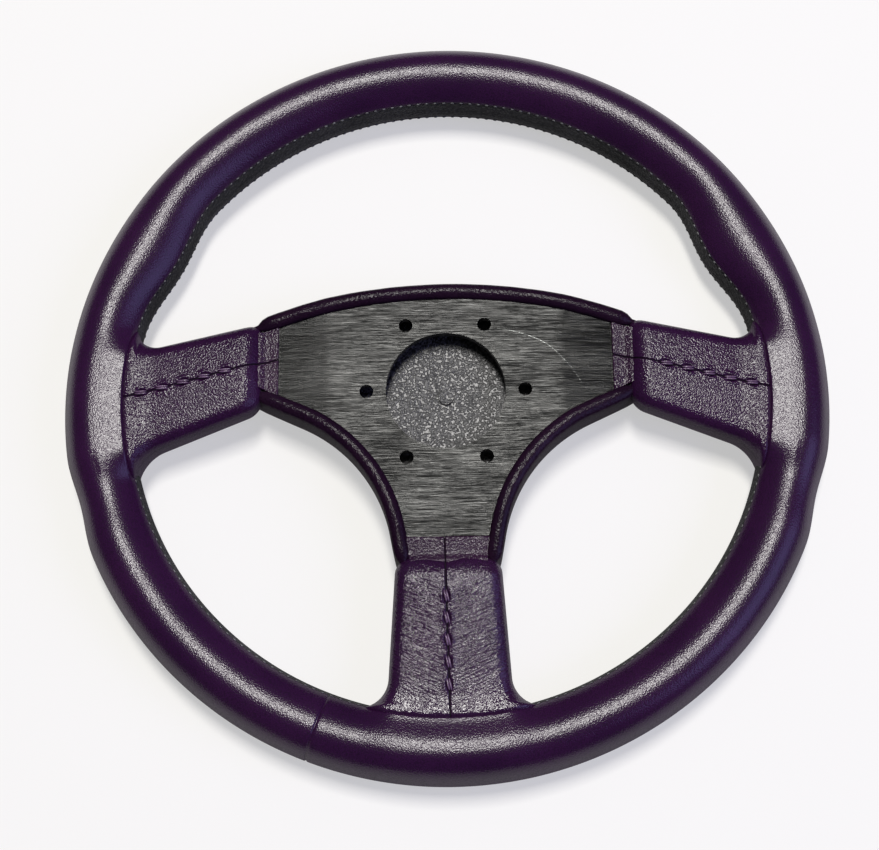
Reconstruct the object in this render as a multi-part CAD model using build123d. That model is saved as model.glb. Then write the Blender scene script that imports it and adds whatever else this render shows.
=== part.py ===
from build123d import *
from math import cos, pi, radians, sin, sqrt, tan
import os

# Leather-covered three-spoke steering wheel, in millimetres.
# Origin: centre of the hub plate's rear face, on the steering axis.
# +Z points out of the rear face and +Y to the top of the wheel, which lies on the front of its rim.

# Rim
rim_diameter = 360.0
grip_diameter = 32.2
rim_drop = 12.5
ring_bar = 10.0
leather = 1.2
glue_line = 0.3

# Thumb swellings inside the rim above the side spokes, and the palm notches outside it below them
thumb_swell = 5.5
thumb_angle = 28.0
thumb_span = 14.0
notch_depth = 2.0
notch_angle = -16.5
notch_span = 8.0
grip_step = 6.0

# Spoke plate
plate_thickness = 4.0
bore_diameter = 56.0
bolt_circle = 74.0
bolt_hole = 6.5
bolt_count = 6
bend_distance = 54.0
bend_radius = 40.0
arm_slope = 6.0
side_arm_root = 30.0
side_arm_tip = 26.0
bottom_arm_root = 32.0
bottom_arm_tip = 26.0
ring_gap = 1.0

# Hub outline, seen from behind
hub_top = 52.4
hub_top_radius = 262.0
hub_half_width = 87.0
hub_foot = 80.0
side_root_low = -4.6
waist_x = 33.7
waist_y = -29.5
waist_radius = 73.0
foot_half_width = 24.4

# Rolled edge of the hub cover on the plate
bead_width = 7.5
bead_height = 3.0
bead_round = 2.6
plate_inset = 4.0

# Spoke sleeves
pad_rear = 4.5
pad_rise = 5.0
pad_front = 7.0
sleeve_round = 4.5
flare_radius = 12.0
side_top_root = 35.0
side_low_root = -7.5
side_top_tip = 22.5
side_low_tip = -30.0
bottom_half_root = 24.0
bottom_half_tip = 28.6
tongue_length = 9.0
tongue_clearance = 0.4

# Lugs and rivets
lug_thickness = 3.0
lug_length = 24.0
lug_margin = 2.0
rivet_diameter = 5.0
rivet_head = 9.0
rivet_head_height = 1.8
rivet_inset = 12.0
rivet_pitch = 13.0
rivet_clearance = 0.15
weld_gap = 0.1

# Hub pad
pad_depth = 17.0
pad_front_round = 6.0

# Horn push
press_travel = 2.5
disc_depth = 13.0
disc_diameter = 85.0
disc_thickness = 3.0
nub_diameter = 7.0
nub_height = 1.5
cap_diameter = 80.0
cap_height = 8.6
cap_dome = 3.0
cap_wall = 2.5
cap_spigot_height = 3.0
cap_spigot_wall = 2.0
cap_round = 1.5
push_clearance = 0.5
stop_clearance = 0.1

# Retainer of the horn push
retainer_wall = 2.0
retainer_lip = 3.0
ear_width = 11.0
ear_length = 6.5
ear_thickness = 3.0
screw_diameter = 3.0
screw_depth = 2.6
screw_head = 5.5
screw_head_height = 2.0
screw_clearance = 0.1
pocket_clearance = 0.5

# Horn contacts and springs
insulator_thickness = 1.5
contact_thickness = 0.8
contact_inset = 2.0
contact_ring_width = 2.6
contact_margin = 0.4
contact_stud = 3.0
contact_gap = 0.1
spring_diameter = 8.0
spring_wire = 0.9
spring_turns = 3
spring_count = 3
spring_seat_gap = 0.1
spigot_clearance = 0.3
spigot_height = 2.0

# Values that follow from the sizes above
rim_radius = (rim_diameter - grip_diameter) / 2
rim_inner = rim_radius - grip_diameter / 2
arm_tip_radius = rim_radius - ring_bar / 2 - ring_gap
flat_limit = bend_distance - 2 * bend_radius * tan(radians(arm_slope / 2))
reach = rim_diameter / 2
sleeve_start = (bend_distance + hub_half_width) / 2
plate_front = -plate_thickness
pad_front_z = plate_front - pad_depth
disc_back_z = -disc_depth
disc_front_z = disc_back_z - disc_thickness
retainer_bore = disc_diameter / 2 + push_clearance
retainer_outer = retainer_bore + retainer_wall
ear_reach = retainer_outer + ear_length
screw_reach = retainer_outer + ear_length / 2
lip_rear_z = disc_front_z - stop_clearance
lip_front_z = lip_rear_z - retainer_lip
ear_front_z = plate_front - ear_thickness
ear_headings = (0, 180, 270)
contact_inner = bore_diameter / 2 + contact_inset
contact_outer = contact_inner + contact_ring_width
contact_reach = (contact_inner + contact_outer) / 2
contact_front_z = plate_front - insulator_thickness - contact_thickness
stack = plate_thickness + lug_thickness
lug_start = arm_tip_radius - lug_length
lug_end = rim_radius - ring_bar / 4
side_root_y = (side_top_root + side_low_root) / 2
side_tip_y = (side_top_tip + side_low_tip) / 2
spring_angles = [90 + 360 / spring_count * (i + 0.5) for i in range(spring_count)]
contact_angles = (210, 330)
right_half = Pos(reach / 2, 0) * Rectangle(reach, reach)


def hump(angle, centre, span):
    """Smooth bump: 1 at the centre angle, 0 from one span away."""
    share = min(abs(angle - centre) / span, 1.0)
    return (1 + cos(pi * share)) / 2


def rim_plane(angle, centre):
    """Plane across the rim at an angle from the right-hand spoke and a distance from the axis."""
    out = Vector(cos(radians(angle)), sin(radians(angle)), 0)
    along = Vector(-sin(radians(angle)), cos(radians(angle)), 0)
    return Plane(origin=out * centre - Vector(0, 0, rim_drop), x_dir=out, z_dir=along)


def grip_section(angle, inset):
    """Section of a shaped grip, set in by a skin: an ellipse, fuller inside and slimmer outside."""
    inner = grip_diameter / 2 + thumb_swell * hump(angle, thumb_angle, thumb_span) - inset
    outer = grip_diameter / 2 - notch_depth * hump(angle, notch_angle, notch_span) - inset
    plane = rim_plane(angle, rim_radius + (outer - inner) / 2)
    return plane * Ellipse((inner + outer) / 2, grip_diameter / 2 - inset)


def rim_body(inset):
    """The whole rim as one solid: plain arcs at top and bottom, shaped grips at the sides."""
    first = notch_angle - notch_span
    last = thumb_angle + thumb_span
    steps = round((last - first) / grip_step)
    angles = [first + (last - first) * i / steps for i in range(steps + 1)]
    grip = loft([grip_section(angle, inset) for angle in angles])
    section = Circle(grip_diameter / 2 - inset)
    top = revolve(rim_plane(last, rim_radius) * section, Axis.Z, 180 - 2 * last)
    bottom = revolve(rim_plane(180 - first, rim_radius) * section, Axis.Z, 180 + 2 * first)
    return grip + mirror(grip, Plane.YZ) + top + bottom


def bar_ring(bar):
    """Square-section ring on the rim's centre line."""
    return revolve(Plane.XZ * Pos(rim_radius, -rim_drop) * Rectangle(bar, bar), Axis.Z)


def bend_line(offset, start):
    """Side view of a sheet that leaves the hub flat and slopes forward, offset from the plate's rear."""
    slope = radians(arm_slope)
    bend = bend_distance + offset * tan(slope / 2)
    end = offset / cos(slope) - (reach - bend_distance) * tan(slope)
    return FilletPolyline((start, offset), (bend, offset), (reach, end), radius=bend_radius + offset)


def arm_slab(rear, front, start):
    """Side view of one arm's layer between two offsets from the plate's rear face."""
    upper = bend_line(rear, start)
    lower = bend_line(front, start)
    ends = [Line(upper @ 0, lower @ 0), Line(upper @ 1, lower @ 1)]
    return make_face([*upper.edges(), *lower.edges(), *ends])


def sheet(rear, front):
    """A layer of the bent plate, between two offsets from its rear face, wide enough for any outline."""
    side = extrude(Plane.XZ * arm_slab(rear, front, 0), -reach)
    side += extrude(Plane.XZ * arm_slab(rear, front, 0), flat_limit)
    side += mirror(side, Plane.YZ)
    lower_plane = Plane(origin=(0, 0, 0), x_dir=(0, -1, 0), z_dir=(-1, 0, 0))
    lower = extrude(lower_plane * arm_slab(rear, front, flat_limit), reach, both=True)
    return side + lower


def column(outline, low, high):
    """Upright prism of an outline between two heights."""
    return extrude(Pos(0, 0, low) * outline, high - low)


def hub_outline(inset, end_inset):
    """Shield-shaped hub: arched top, waisted lower sides, square ends where the spokes begin."""
    arch_x = hub_half_width + tongue_length * 2
    arch_centre = hub_top - hub_top_radius
    arch_y = arch_centre + sqrt(hub_top_radius**2 - arch_x**2)
    side_run = (side_root_low - waist_y) / (hub_half_width - waist_x)
    foot_run = (foot_half_width - waist_x) / (hub_foot + waist_y)
    side_end = (arch_x, side_root_low + side_run * (arch_x - hub_half_width))
    foot_y = -hub_foot - tongue_length * 2
    foot_end = (foot_half_width + foot_run * tongue_length * 2, foot_y)
    arch = ThreePointArc((-arch_x, arch_y), (0, hub_top), (arch_x, arch_y))
    waist = FilletPolyline(side_end, (waist_x, waist_y), foot_end, radius=waist_radius)
    right = Line((arch_x, arch_y), side_end)
    foot = Line(foot_end, (-foot_end[0], foot_y))
    other = mirror(waist, Plane.YZ)
    left = mirror(right, Plane.YZ)
    field = make_face([*arch.edges(), right, *waist.edges(), foot, *other.edges(), left])
    if inset:
        field = offset(field, -inset, kind=Kind.INTERSECTION)
    width = 2 * (hub_half_width - end_inset)
    height = hub_top + hub_foot - end_inset
    trim = Pos(0, hub_top - height / 2) * Rectangle(width, height)
    return field & trim


def side_arm_outline(margin, end):
    """Plan of the right-hand arm of the plate, from inside the hub to an end radius, with a margin."""
    root = side_arm_root / 2 + margin
    tip = side_arm_tip / 2 + margin
    corners = [
        (bend_distance, side_root_y + root),
        (hub_half_width, side_root_y + root),
        (reach, side_tip_y + tip),
        (reach, side_tip_y - tip),
        (hub_half_width, side_root_y - root),
        (bend_distance, side_root_y - root),
    ]
    return make_face(Polyline(*corners, close=True)) & Circle(end)


def bottom_arm_outline(margin, end):
    """Plan of the bottom arm of the plate, from inside the hub to an end radius, with a margin."""
    root = bottom_arm_root / 2 + margin
    tip = bottom_arm_tip / 2 + margin
    corners = [(-root, -bend_distance), (root, -bend_distance), (tip, -reach), (-tip, -reach)]
    return make_face(Polyline(*corners, close=True)) & Circle(end)


def arm_columns(margin, end):
    """The three arms' plans as upright prisms."""
    side = column(side_arm_outline(margin, end), -reach, reach)
    return side + mirror(side, Plane.YZ) + column(bottom_arm_outline(margin, end), -reach, reach)


def arm_height(distance):
    """Height of an arm's rear face at a distance from the steering axis."""
    return (bend_distance - distance) * tan(radians(arm_slope))


def side_sleeve_outline():
    """Plan of the right-hand spoke sleeve before it is flared into the rim."""
    corners = [
        (hub_half_width, side_top_root),
        (rim_inner, side_top_tip),
        (rim_radius, side_top_tip),
        (rim_radius, side_low_tip),
        (rim_inner, side_low_tip),
        (hub_half_width, side_low_root),
    ]
    return make_face(Polyline(*corners, close=True))


def bottom_sleeve_outline():
    """Plan of the bottom spoke sleeve before it is flared into the rim."""
    corners = [
        (-bottom_half_root, -hub_foot),
        (bottom_half_root, -hub_foot),
        (bottom_half_tip, -rim_inner),
        (bottom_half_tip, -rim_radius),
        (-bottom_half_tip, -rim_radius),
        (-bottom_half_tip, -rim_inner),
    ]
    return make_face(Polyline(*corners, close=True))


def flared(outline, heading):
    """Spoke's plan filleted into the rim's inner circle, with the half of the rim it stands on."""
    half = Rot(0, 0, heading) * Pos(sleeve_start + reach / 2, 0) * Rectangle(reach, 2 * reach)
    joined = (outline + (Circle(rim_radius) - Circle(rim_inner))) & half
    corners = [v for v in joined.vertices() if abs(Vector(v.X, v.Y, 0).length - rim_inner) < glue_line]
    across = Vector(0, 1, 0).rotate(Axis.Z, heading)
    corners = ShapeList(corners).sort_by(lambda v: abs(Vector(v.X, v.Y, 0).dot(across)))[:2]
    return fillet(corners, flare_radius)


def flare_window(outline, heading):
    """Prism round a spoke and its flares."""
    across = Vector(0, 1, 0).rotate(Axis.Z, heading)
    spans = [Vector(v.X, v.Y, 0).dot(across) for v in outline.vertices()]
    middle = (max(spans) + min(spans)) / 2
    width = max(spans) - min(spans) + 2 * flare_radius
    return column(Rot(0, 0, heading) * Pos(reach / 2, middle) * Rectangle(reach, width), -reach, reach)


def leaves_root(edge):
    """True for an edge that isn't on the square end of the hub or of a sleeve."""
    start = edge @ 0
    end = edge @ 1
    across = abs(start.X - end.X) < glue_line and abs(abs(start.X) - hub_half_width) < tongue_length
    along = abs(start.Y - end.Y) < glue_line and abs(start.Y + hub_foot) < tongue_length
    return not (across or along)


def faces_near_flat(body):
    """The rear and front faces of a sleeve or pad, flat or gently sloped."""
    return [f for f in body.faces() if abs(f.normal_at().Z) > cos(radians(2 * arm_slope))]


def sleeve_slab(inset):
    """Side view of a sleeve's padding: it follows the arm in front and rises to the rim's crest behind."""
    fall = arm_height(reach)
    rise = pad_rise * (reach - bend_distance) / (rim_inner - bend_distance)
    rear = pad_rear - inset
    front = inset - plate_thickness - pad_front
    outer = [(reach, rear + fall + rise), (reach, front + fall)]
    return make_face(Polyline((bend_distance, rear), *outer, (bend_distance, front), close=True))


def sleeve(outline, heading, inset):
    """Body of a spoke sleeve with its flares, its edges rounded, or bevelled inside a skin."""
    plan = flared(outline, heading)
    if inset:
        plan = offset(plan, -inset)
    layer = Rot(0, 0, heading) * extrude(Plane.XZ * sleeve_slab(inset), reach, both=True)
    body = column(plan, -reach, reach) & layer & flare_window(outline, heading)
    edges = [e for f in faces_near_flat(body) for e in f.edges() if leaves_root(e)]
    near = rim_inner + inset + glue_line
    sides = [e for e in edges if Vector(e.center().X, e.center().Y, 0).length < near]
    return chamfer(sides, sleeve_round - inset) if inset else fillet(sides, sleeve_round)


def pad_block(inset, end_inset):
    """The hub pad up to the rolled edge's height, its front edges rounded, or bevelled inside a skin."""
    block = column(hub_outline(inset, end_inset), pad_front_z + inset, bead_height)
    face = block.faces().sort_by(Axis.Z)[0]
    edges = [e for e in face.edges() if leaves_root(e)]
    return chamfer(edges, pad_front_round) if inset else fillet(edges, pad_front_round)


def polar(radius, angle):
    """Place on a circle round the steering axis."""
    return Pos(radius * cos(radians(angle)), radius * sin(radians(angle)))


def rivet_places():
    """Planes on the arms' rear faces where the rivets go through, two to an arm."""
    slope = radians(arm_slope)
    distance = arm_tip_radius - rivet_inset
    share = (distance - hub_half_width) / (reach - hub_half_width)
    middle = side_root_y + (side_tip_y - side_root_y) * share
    height = arm_height(distance)
    places = []
    for step in (-rivet_pitch / 2, rivet_pitch / 2):
        places.append(Plane((distance, middle + step, height), z_dir=(sin(slope), 0, cos(slope))))
        places.append(Plane((-distance, middle + step, height), z_dir=(-sin(slope), 0, cos(slope))))
        places.append(Plane((step, -distance, height), z_dir=(0, -sin(slope), cos(slope))))
    return places


def screw_places():
    """Places on the plate's front face where the retainer's screws go in."""
    return [polar(screw_reach, heading) * Pos(0, 0, plate_front) for heading in ear_headings]


def make_plate():
    """Brushed plate: hub with bore and bolt holes, and three arms that slope forward to the ring."""
    plan = column(hub_outline(plate_inset, glue_line), -reach, reach)
    plate = (plan + arm_columns(0, arm_tip_radius)) & sheet(0, -plate_thickness)
    plate -= Cylinder(bore_diameter / 2, reach)
    for place in PolarLocations(bolt_circle / 2, bolt_count):
        plate -= place * Cylinder(bolt_hole / 2, reach)
    for place in rivet_places():
        plate -= place * Cylinder(rivet_diameter / 2 + rivet_clearance, reach)
    screw_hole = column(Circle(screw_diameter / 2 + screw_clearance), 0, screw_depth + screw_clearance)
    for place in screw_places():
        plate -= place * screw_hole
    return plate


def make_lugs():
    """Three steel lugs on the ring, under the arms."""
    lugs = arm_columns(-lug_margin, lug_end) & sheet(-plate_thickness, -stack)
    lugs -= Cylinder(lug_start, reach)
    lugs -= bar_ring(ring_bar + 2 * weld_gap)
    for place in rivet_places():
        lugs -= place * Cylinder(rivet_diameter / 2 + rivet_clearance, reach)
    return lugs


def make_rivet():
    """One rivet, with its rear head on the arm and its front head under the lug."""
    head = Circle(rivet_head / 2)
    rear = column(head, 0, rivet_head_height)
    front = column(head, -stack - rivet_head_height, -stack)
    return column(Circle(rivet_diameter / 2), -stack, 0) + rear + front


def make_sleeve_leather(outline, heading, tongue_strip):
    """Leather sleeve of a spoke, open at the rim, with an end wall and a tongue on the plate."""
    skin = sleeve(outline, heading, 0) - sleeve(outline, heading, leather)
    skin = skin - arm_slot - joint_slot - rim_clear
    tongue = column(hub_outline(bead_width + tongue_clearance, -leather) & tongue_strip, -reach, reach)
    return skin + (tongue & sheet(leather, 0))


def make_sleeve_pad(outline, heading):
    """Foam round a spoke's arm, under its leather."""
    return sleeve(outline, heading, leather + glue_line) - arm_slot - joint_slot - rim_clear


def make_hub_leather():
    """Leather of the hub pad: front with the horn's opening, sides, and the edge rolled on the plate."""
    above = sheet(pad_depth, bead_height)
    cover = pad_block(0, glue_line) - above
    cover -= pad_block(leather, -tongue_length) - sheet(pad_depth, 0)
    cover -= column(hub_outline(bead_width, -tongue_length), -reach, reach) & sheet(pad_depth, 0)
    cover -= column(Circle(retainer_outer + glue_line), pad_front_z, pad_front_z + leather)
    level = arm_height(hub_half_width)
    tops = [f for f in faces_near_flat(cover) if f.normal_at().Z > 0 and f.center().Z > level]
    edges = [e for f in tops for e in f.edges() if leaves_root(e)]
    rims = [e for e in edges if sum(e.is_same(other) for other in edges) == 1]
    return fillet(rims, bead_round)


def make_hub_core():
    """Foam of the hub pad, in front of the plate and round its edge, with room for the horn's retainer."""
    skin = leather + glue_line
    core = pad_block(skin, 2 * glue_line) - sheet(pad_depth, -glue_line)
    plate_room = column(hub_outline(plate_inset - glue_line, 0), -reach, reach)
    plate_room += arm_columns(glue_line, arm_tip_radius)
    core -= plate_room & sheet(glue_line, -plate_thickness)
    core -= Cylinder(retainer_outer + glue_line, reach)
    room = ear_thickness + screw_head_height + pocket_clearance
    for heading in ear_headings:
        ear = Rectangle(2 * (ear_reach + pocket_clearance), ear_width + 2 * pocket_clearance)
        core -= Rot(0, 0, heading) * column(ear & right_half, plate_front - room, plate_front)
    return core


def make_retainer():
    """Ring on the plate's front that holds the horn push, with three screwed ears."""
    ring = column(Circle(retainer_outer) - Circle(retainer_bore), lip_front_z, plate_front)
    lip_plan = Circle(retainer_outer) - Circle(cap_diameter / 2 + push_clearance)
    ring += column(lip_plan, lip_front_z, lip_rear_z)
    for heading in ear_headings:
        ear = (Rectangle(2 * ear_reach, ear_width) & right_half) - Circle(retainer_bore)
        ring += Rot(0, 0, heading) * column(ear, ear_front_z, plate_front)
    for place in screw_places():
        ring -= place * Cylinder(screw_diameter / 2 + screw_clearance, 3 * ear_thickness)
    return ring


def make_screw():
    """One screw of the retainer, from the plate's front face: shank in the plate, head on the ear."""
    shank = column(Circle(screw_diameter / 2), -ear_thickness, screw_depth)
    head = column(Circle(screw_head / 2), -ear_thickness - screw_head_height, -ear_thickness)
    return shank + head


def make_disc():
    """Back of the horn push: flanged disc with a centre nub, spring spigots and a spigot for the cap."""
    disc = column(Circle(disc_diameter / 2), disc_front_z, disc_back_z)
    disc += column(Circle(nub_diameter / 2), disc_back_z, disc_back_z + nub_height)
    spigot_plan = Circle(spring_diameter / 2 - spring_wire - spigot_clearance)
    spigot = column(spigot_plan, disc_back_z, disc_back_z + spigot_height)
    for angle in spring_angles:
        disc += polar(bolt_circle / 2, angle) * spigot
    outer = cap_diameter / 2 - cap_wall - stop_clearance
    collar = Circle(outer) - Circle(outer - cap_spigot_wall)
    disc += column(collar, disc_front_z - cap_spigot_height, disc_front_z)
    return disc


def cap_profile(inset):
    """Side view of the horn cap's domed drum, set in by its wall."""
    radius = cap_diameter / 2 - inset
    crown = disc_front_z - cap_height + inset
    shoulder = crown + cap_dome
    dome = ThreePointArc((-radius, shoulder), (0, crown), (radius, shoulder))
    drum = Polyline((radius, shoulder), (radius, disc_front_z), (-radius, disc_front_z), (-radius, shoulder))
    return make_face([dome, *drum.edges()])


def make_cap():
    """Front of the horn push: plain domed cap."""
    outer = cap_profile(0)
    outer = fillet(outer.vertices().sort_by(Axis.Y)[:2], cap_round)
    wall = Plane.XZ * ((outer - cap_profile(cap_wall)) & right_half)
    return revolve(wall, Axis.Z)


def make_spring():
    """One coil spring between the disc and the plate."""
    length = plate_front - disc_back_z - spring_wire - 2 * spring_seat_gap
    coil = Helix(length / spring_turns, length, (spring_diameter - spring_wire) / 2)
    start = Plane(coil @ 0, x_dir=(1, 0, 0), z_dir=coil % 0)
    wire = sweep(start * Rectangle(spring_wire, spring_wire), path=coil, is_frenet=True)
    return Pos(0, 0, disc_back_z + spring_wire / 2 + spring_seat_gap) * wire


# Shared cutters
rim_clear = rim_body(-glue_line)
arm_slot = arm_columns(glue_line, rim_radius) & sheet(glue_line, -plate_thickness - glue_line)
joint_slot = arm_columns(glue_line, rim_radius) - Cylinder(lug_start - glue_line, reach)
joint_slot &= sheet(rivet_head_height + glue_line, -stack - rivet_head_height - glue_line)
side_strip = Pos(hub_half_width, 0) * Rectangle(2 * tongue_length, 2 * reach)
bottom_strip = Pos(0, -hub_foot) * Rectangle(2 * reach, 2 * tongue_length)
side_plan = side_sleeve_outline()
bottom_plan = bottom_sleeve_outline()

# Armature
parts = {"spoke_plate": make_plate()}
parts["rim_ring"] = bar_ring(ring_bar)
lugs = make_lugs().solids()
parts["ring_lug_left"] = lugs.sort_by(Axis.X)[0]
parts["ring_lug_right"] = lugs.sort_by(Axis.X)[-1]
parts["ring_lug_bottom"] = lugs.sort_by(Axis.Y)[0]
parts["arm_rivets"] = Compound([place * make_rivet() for place in rivet_places()])

# Rim
rim_inside = rim_body(leather)
cavity = bar_ring(ring_bar + 2 * glue_line)
parts["rim_core"] = rim_body(leather + glue_line) - arm_slot - joint_slot - cavity
parts["rim_leather"] = rim_body(0) - rim_inside - arm_slot - joint_slot

# Spokes
parts["spoke_pad_right"] = make_sleeve_pad(side_plan, 0)
parts["spoke_pad_left"] = mirror(parts["spoke_pad_right"], Plane.YZ)
parts["spoke_pad_bottom"] = make_sleeve_pad(bottom_plan, 270)
parts["spoke_leather_right"] = make_sleeve_leather(side_plan, 0, side_strip)
parts["spoke_leather_left"] = mirror(parts["spoke_leather_right"], Plane.YZ)
parts["spoke_leather_bottom"] = make_sleeve_leather(bottom_plan, 270, bottom_strip)

# Hub pad
parts["hub_pad_core"] = make_hub_core()
parts["hub_pad_leather"] = make_hub_leather()

# Horn push
parts["horn_retainer"] = make_retainer()
parts["retainer_screws"] = Compound([place * make_screw() for place in screw_places()])
insulator_plan = Circle(contact_outer + contact_margin) - Circle(contact_inner - contact_margin)
parts["contact_insulator"] = column(insulator_plan, plate_front - insulator_thickness, plate_front)
contact_plan = Circle(contact_outer) - Circle(contact_inner)
parts["contact_ring"] = column(contact_plan, contact_front_z, plate_front - insulator_thickness)
stud_top = contact_front_z - press_travel - contact_gap
stud = column(Circle(contact_stud / 2), disc_back_z, stud_top)
parts["horn_contacts"] = Compound([polar(contact_reach, angle) * stud for angle in contact_angles])
parts["horn_disc"] = make_disc()
parts["horn_cap"] = make_cap()
parts["horn_springs"] = Compound([polar(bolt_circle / 2, angle) * make_spring() for angle in spring_angles])

os.makedirs("parts", exist_ok=True)
for name, shape in parts.items():
    export_step(shape, f"parts/{name}.step")
    print(name, len(shape.solids()), round(shape.volume))
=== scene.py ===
# %% [markdown]
# # A leather-covered steering wheel, seen from behind
# The imported CAD model gives every solid in its place: the bent hub plate, the steel ring, the foam, the
# leather and the horn push. Blender keeps the hard pieces as they are and only gives them a finish. The
# leather is made again here, because soft covers need seams, creases and rolled edges, and so are the horn's
# springs, as coils of wire.

# %% Load the frame
import bmesh
import bpy
from bmesh.types import BMEdge, BMVert
from math import asin, atan2, cos, degrees, exp, hypot, pi, radians, sin, sqrt, tan
from mathutils import Matrix, Vector, noise


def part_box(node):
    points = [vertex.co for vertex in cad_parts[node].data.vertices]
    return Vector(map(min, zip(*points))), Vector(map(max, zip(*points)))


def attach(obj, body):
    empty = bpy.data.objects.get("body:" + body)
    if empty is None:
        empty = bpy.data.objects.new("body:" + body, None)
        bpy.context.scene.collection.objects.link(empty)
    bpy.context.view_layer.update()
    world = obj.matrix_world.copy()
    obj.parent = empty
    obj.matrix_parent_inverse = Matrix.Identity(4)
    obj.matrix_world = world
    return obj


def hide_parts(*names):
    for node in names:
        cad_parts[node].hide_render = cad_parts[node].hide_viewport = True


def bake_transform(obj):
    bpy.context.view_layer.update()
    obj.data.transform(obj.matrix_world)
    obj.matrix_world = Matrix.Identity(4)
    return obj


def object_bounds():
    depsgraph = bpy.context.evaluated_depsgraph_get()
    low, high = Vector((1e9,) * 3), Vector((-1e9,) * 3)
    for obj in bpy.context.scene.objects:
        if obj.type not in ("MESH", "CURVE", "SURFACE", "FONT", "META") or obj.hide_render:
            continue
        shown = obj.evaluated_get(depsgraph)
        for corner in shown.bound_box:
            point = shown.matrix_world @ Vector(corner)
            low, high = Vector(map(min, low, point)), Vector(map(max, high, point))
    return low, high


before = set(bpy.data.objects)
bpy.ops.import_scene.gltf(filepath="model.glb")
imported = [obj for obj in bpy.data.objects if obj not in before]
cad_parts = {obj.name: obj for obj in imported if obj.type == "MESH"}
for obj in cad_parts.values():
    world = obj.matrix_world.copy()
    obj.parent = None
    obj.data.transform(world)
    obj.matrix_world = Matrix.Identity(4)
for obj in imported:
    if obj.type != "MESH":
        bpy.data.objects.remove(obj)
cad_low, cad_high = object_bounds()
scene = bpy.context.scene
mm = 0.001
print("nodes:", len(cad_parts), "box:", cad_low, cad_high)

# %% [markdown]
# ## Sizes
# All sizes could be typed in again, but the rim's centre line and thickness are read from the frame, so the
# new leather always fits the solid it stands for. The few sizes that no box can give, such as the slope of
# the arms, repeat the CAD's values.

# %% Read the main sizes
rim_low, rim_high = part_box("rim_leather")
grip = (rim_high.z - rim_low.z) / 2
rim_z = (rim_high.z + rim_low.z) / 2
rim_radius = rim_high.x - grip
rim_inner = rim_radius - grip
hub_low, hub_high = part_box("hub_pad_leather")
hub_half_width = hub_high.x
hub_foot = -hub_low.y
hub_top = hub_high.y
hub_front = hub_low.z
roll_height = hub_high.z
bend_distance = 54 * mm
bend_length = 4 * mm
arm_slope = radians(6)
leather = 1.2 * mm
print("rim radius", rim_radius, "grip", grip, "hub", hub_half_width, hub_foot, hub_top)


def ease(share):
    """Smooth step from 0 to 1."""
    share = min(max(share, 0.0), 1.0)
    return share * share * (3 - 2 * share)


def arm_height(distance):
    """Height of the plate's rear face at a distance from the hub's centre, with its soft bend."""
    past = max(distance - bend_distance, 0.0)
    run = past * past / (2 * bend_length) if past < bend_length else past - bend_length / 2
    return -run * tan(arm_slope)


# %% [markdown]
# ## Shared effects
# Each finish could have its own copy of these nodes, but a node group is built once and shared. The grain
# group makes the pebbled skin of leather: cells for the pebbles, a finer noise inside them and a slow noise
# for uneven dye. The edges of the cells give the grain's hollows, which the finishes paint darker as painted
# shade.

# %% Node helpers
def new_group(name, inputs, outputs):
    """Shader node group with named sockets, and its input and output nodes."""
    group = bpy.data.node_groups.new(name, "ShaderNodeTree")
    for label, kind, value in inputs:
        socket = group.interface.new_socket(label, in_out="INPUT", socket_type=kind)
        socket.default_value = value
    for label, kind in outputs:
        group.interface.new_socket(label, in_out="OUTPUT", socket_type=kind)
    return group, group.nodes.new("NodeGroupInput"), group.nodes.new("NodeGroupOutput")


def add_math(tree, operation, first, second):
    """Math node on two sockets or numbers; gives its output socket."""
    node = tree.nodes.new("ShaderNodeMath")
    node.operation = operation
    for socket, value in zip(node.inputs, (first, second)):
        if isinstance(value, (int, float)):
            socket.default_value = value
        else:
            tree.links.new(value, socket)
    return node.outputs[0]


def add_mix(tree, factor, first, second):
    """Colour mix of two sockets or colours; gives its output socket."""
    node = tree.nodes.new("ShaderNodeMix")
    node.data_type = "RGBA"
    for socket, value in ((node.inputs[0], factor), (node.inputs[6], first), (node.inputs[7], second)):
        if isinstance(value, (int, float)):
            socket.default_value = value
        elif isinstance(value, tuple):
            socket.default_value = (*value, 1)
        else:
            tree.links.new(value, socket)
    return node.outputs[2]


def add_range(tree, value, from_low, from_high, to_low, to_high):
    """Map Range node with its ends clamped; gives its output socket."""
    node = tree.nodes.new("ShaderNodeMapRange")
    tree.links.new(value, node.inputs["Value"])
    limits = {"From Min": from_low, "From Max": from_high, "To Min": to_low, "To Max": to_high}
    for label, number in limits.items():
        node.inputs[label].default_value = number
    return node.outputs["Result"]


def add_noise(tree, vector, scale, detail):
    """Noise texture on a vector socket; gives its value."""
    node = tree.nodes.new("ShaderNodeTexNoise")
    tree.links.new(vector, node.inputs["Vector"])
    node.inputs["Scale"].default_value = scale
    node.inputs["Detail"].default_value = detail
    return node.outputs["Fac"]


# %% Leather grain group
grain, grain_in, grain_out = new_group(
    "leather_grain",
    [("Vector", "NodeSocketVector", (0, 0, 0)), ("Pebble Scale", "NodeSocketFloat", 900.0)],
    [("Height", "NodeSocketFloat"), ("Dye", "NodeSocketFloat"), ("Pit Shade", "NodeSocketFloat")],
)
warp = grain.nodes.new("ShaderNodeVectorMath")
warp.operation = "MULTIPLY_ADD"
warp_noise = grain.nodes.new("ShaderNodeTexNoise")
warp_noise.inputs["Scale"].default_value = 500
grain.links.new(grain_in.outputs["Vector"], warp_noise.inputs["Vector"])
grain.links.new(warp_noise.outputs["Color"], warp.inputs[0])
warp.inputs[1].default_value = (0.0006, 0.0006, 0.0006)
grain.links.new(grain_in.outputs["Vector"], warp.inputs[2])
pebbles = grain.nodes.new("ShaderNodeTexVoronoi")
pebbles.feature = "SMOOTH_F1"
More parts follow.
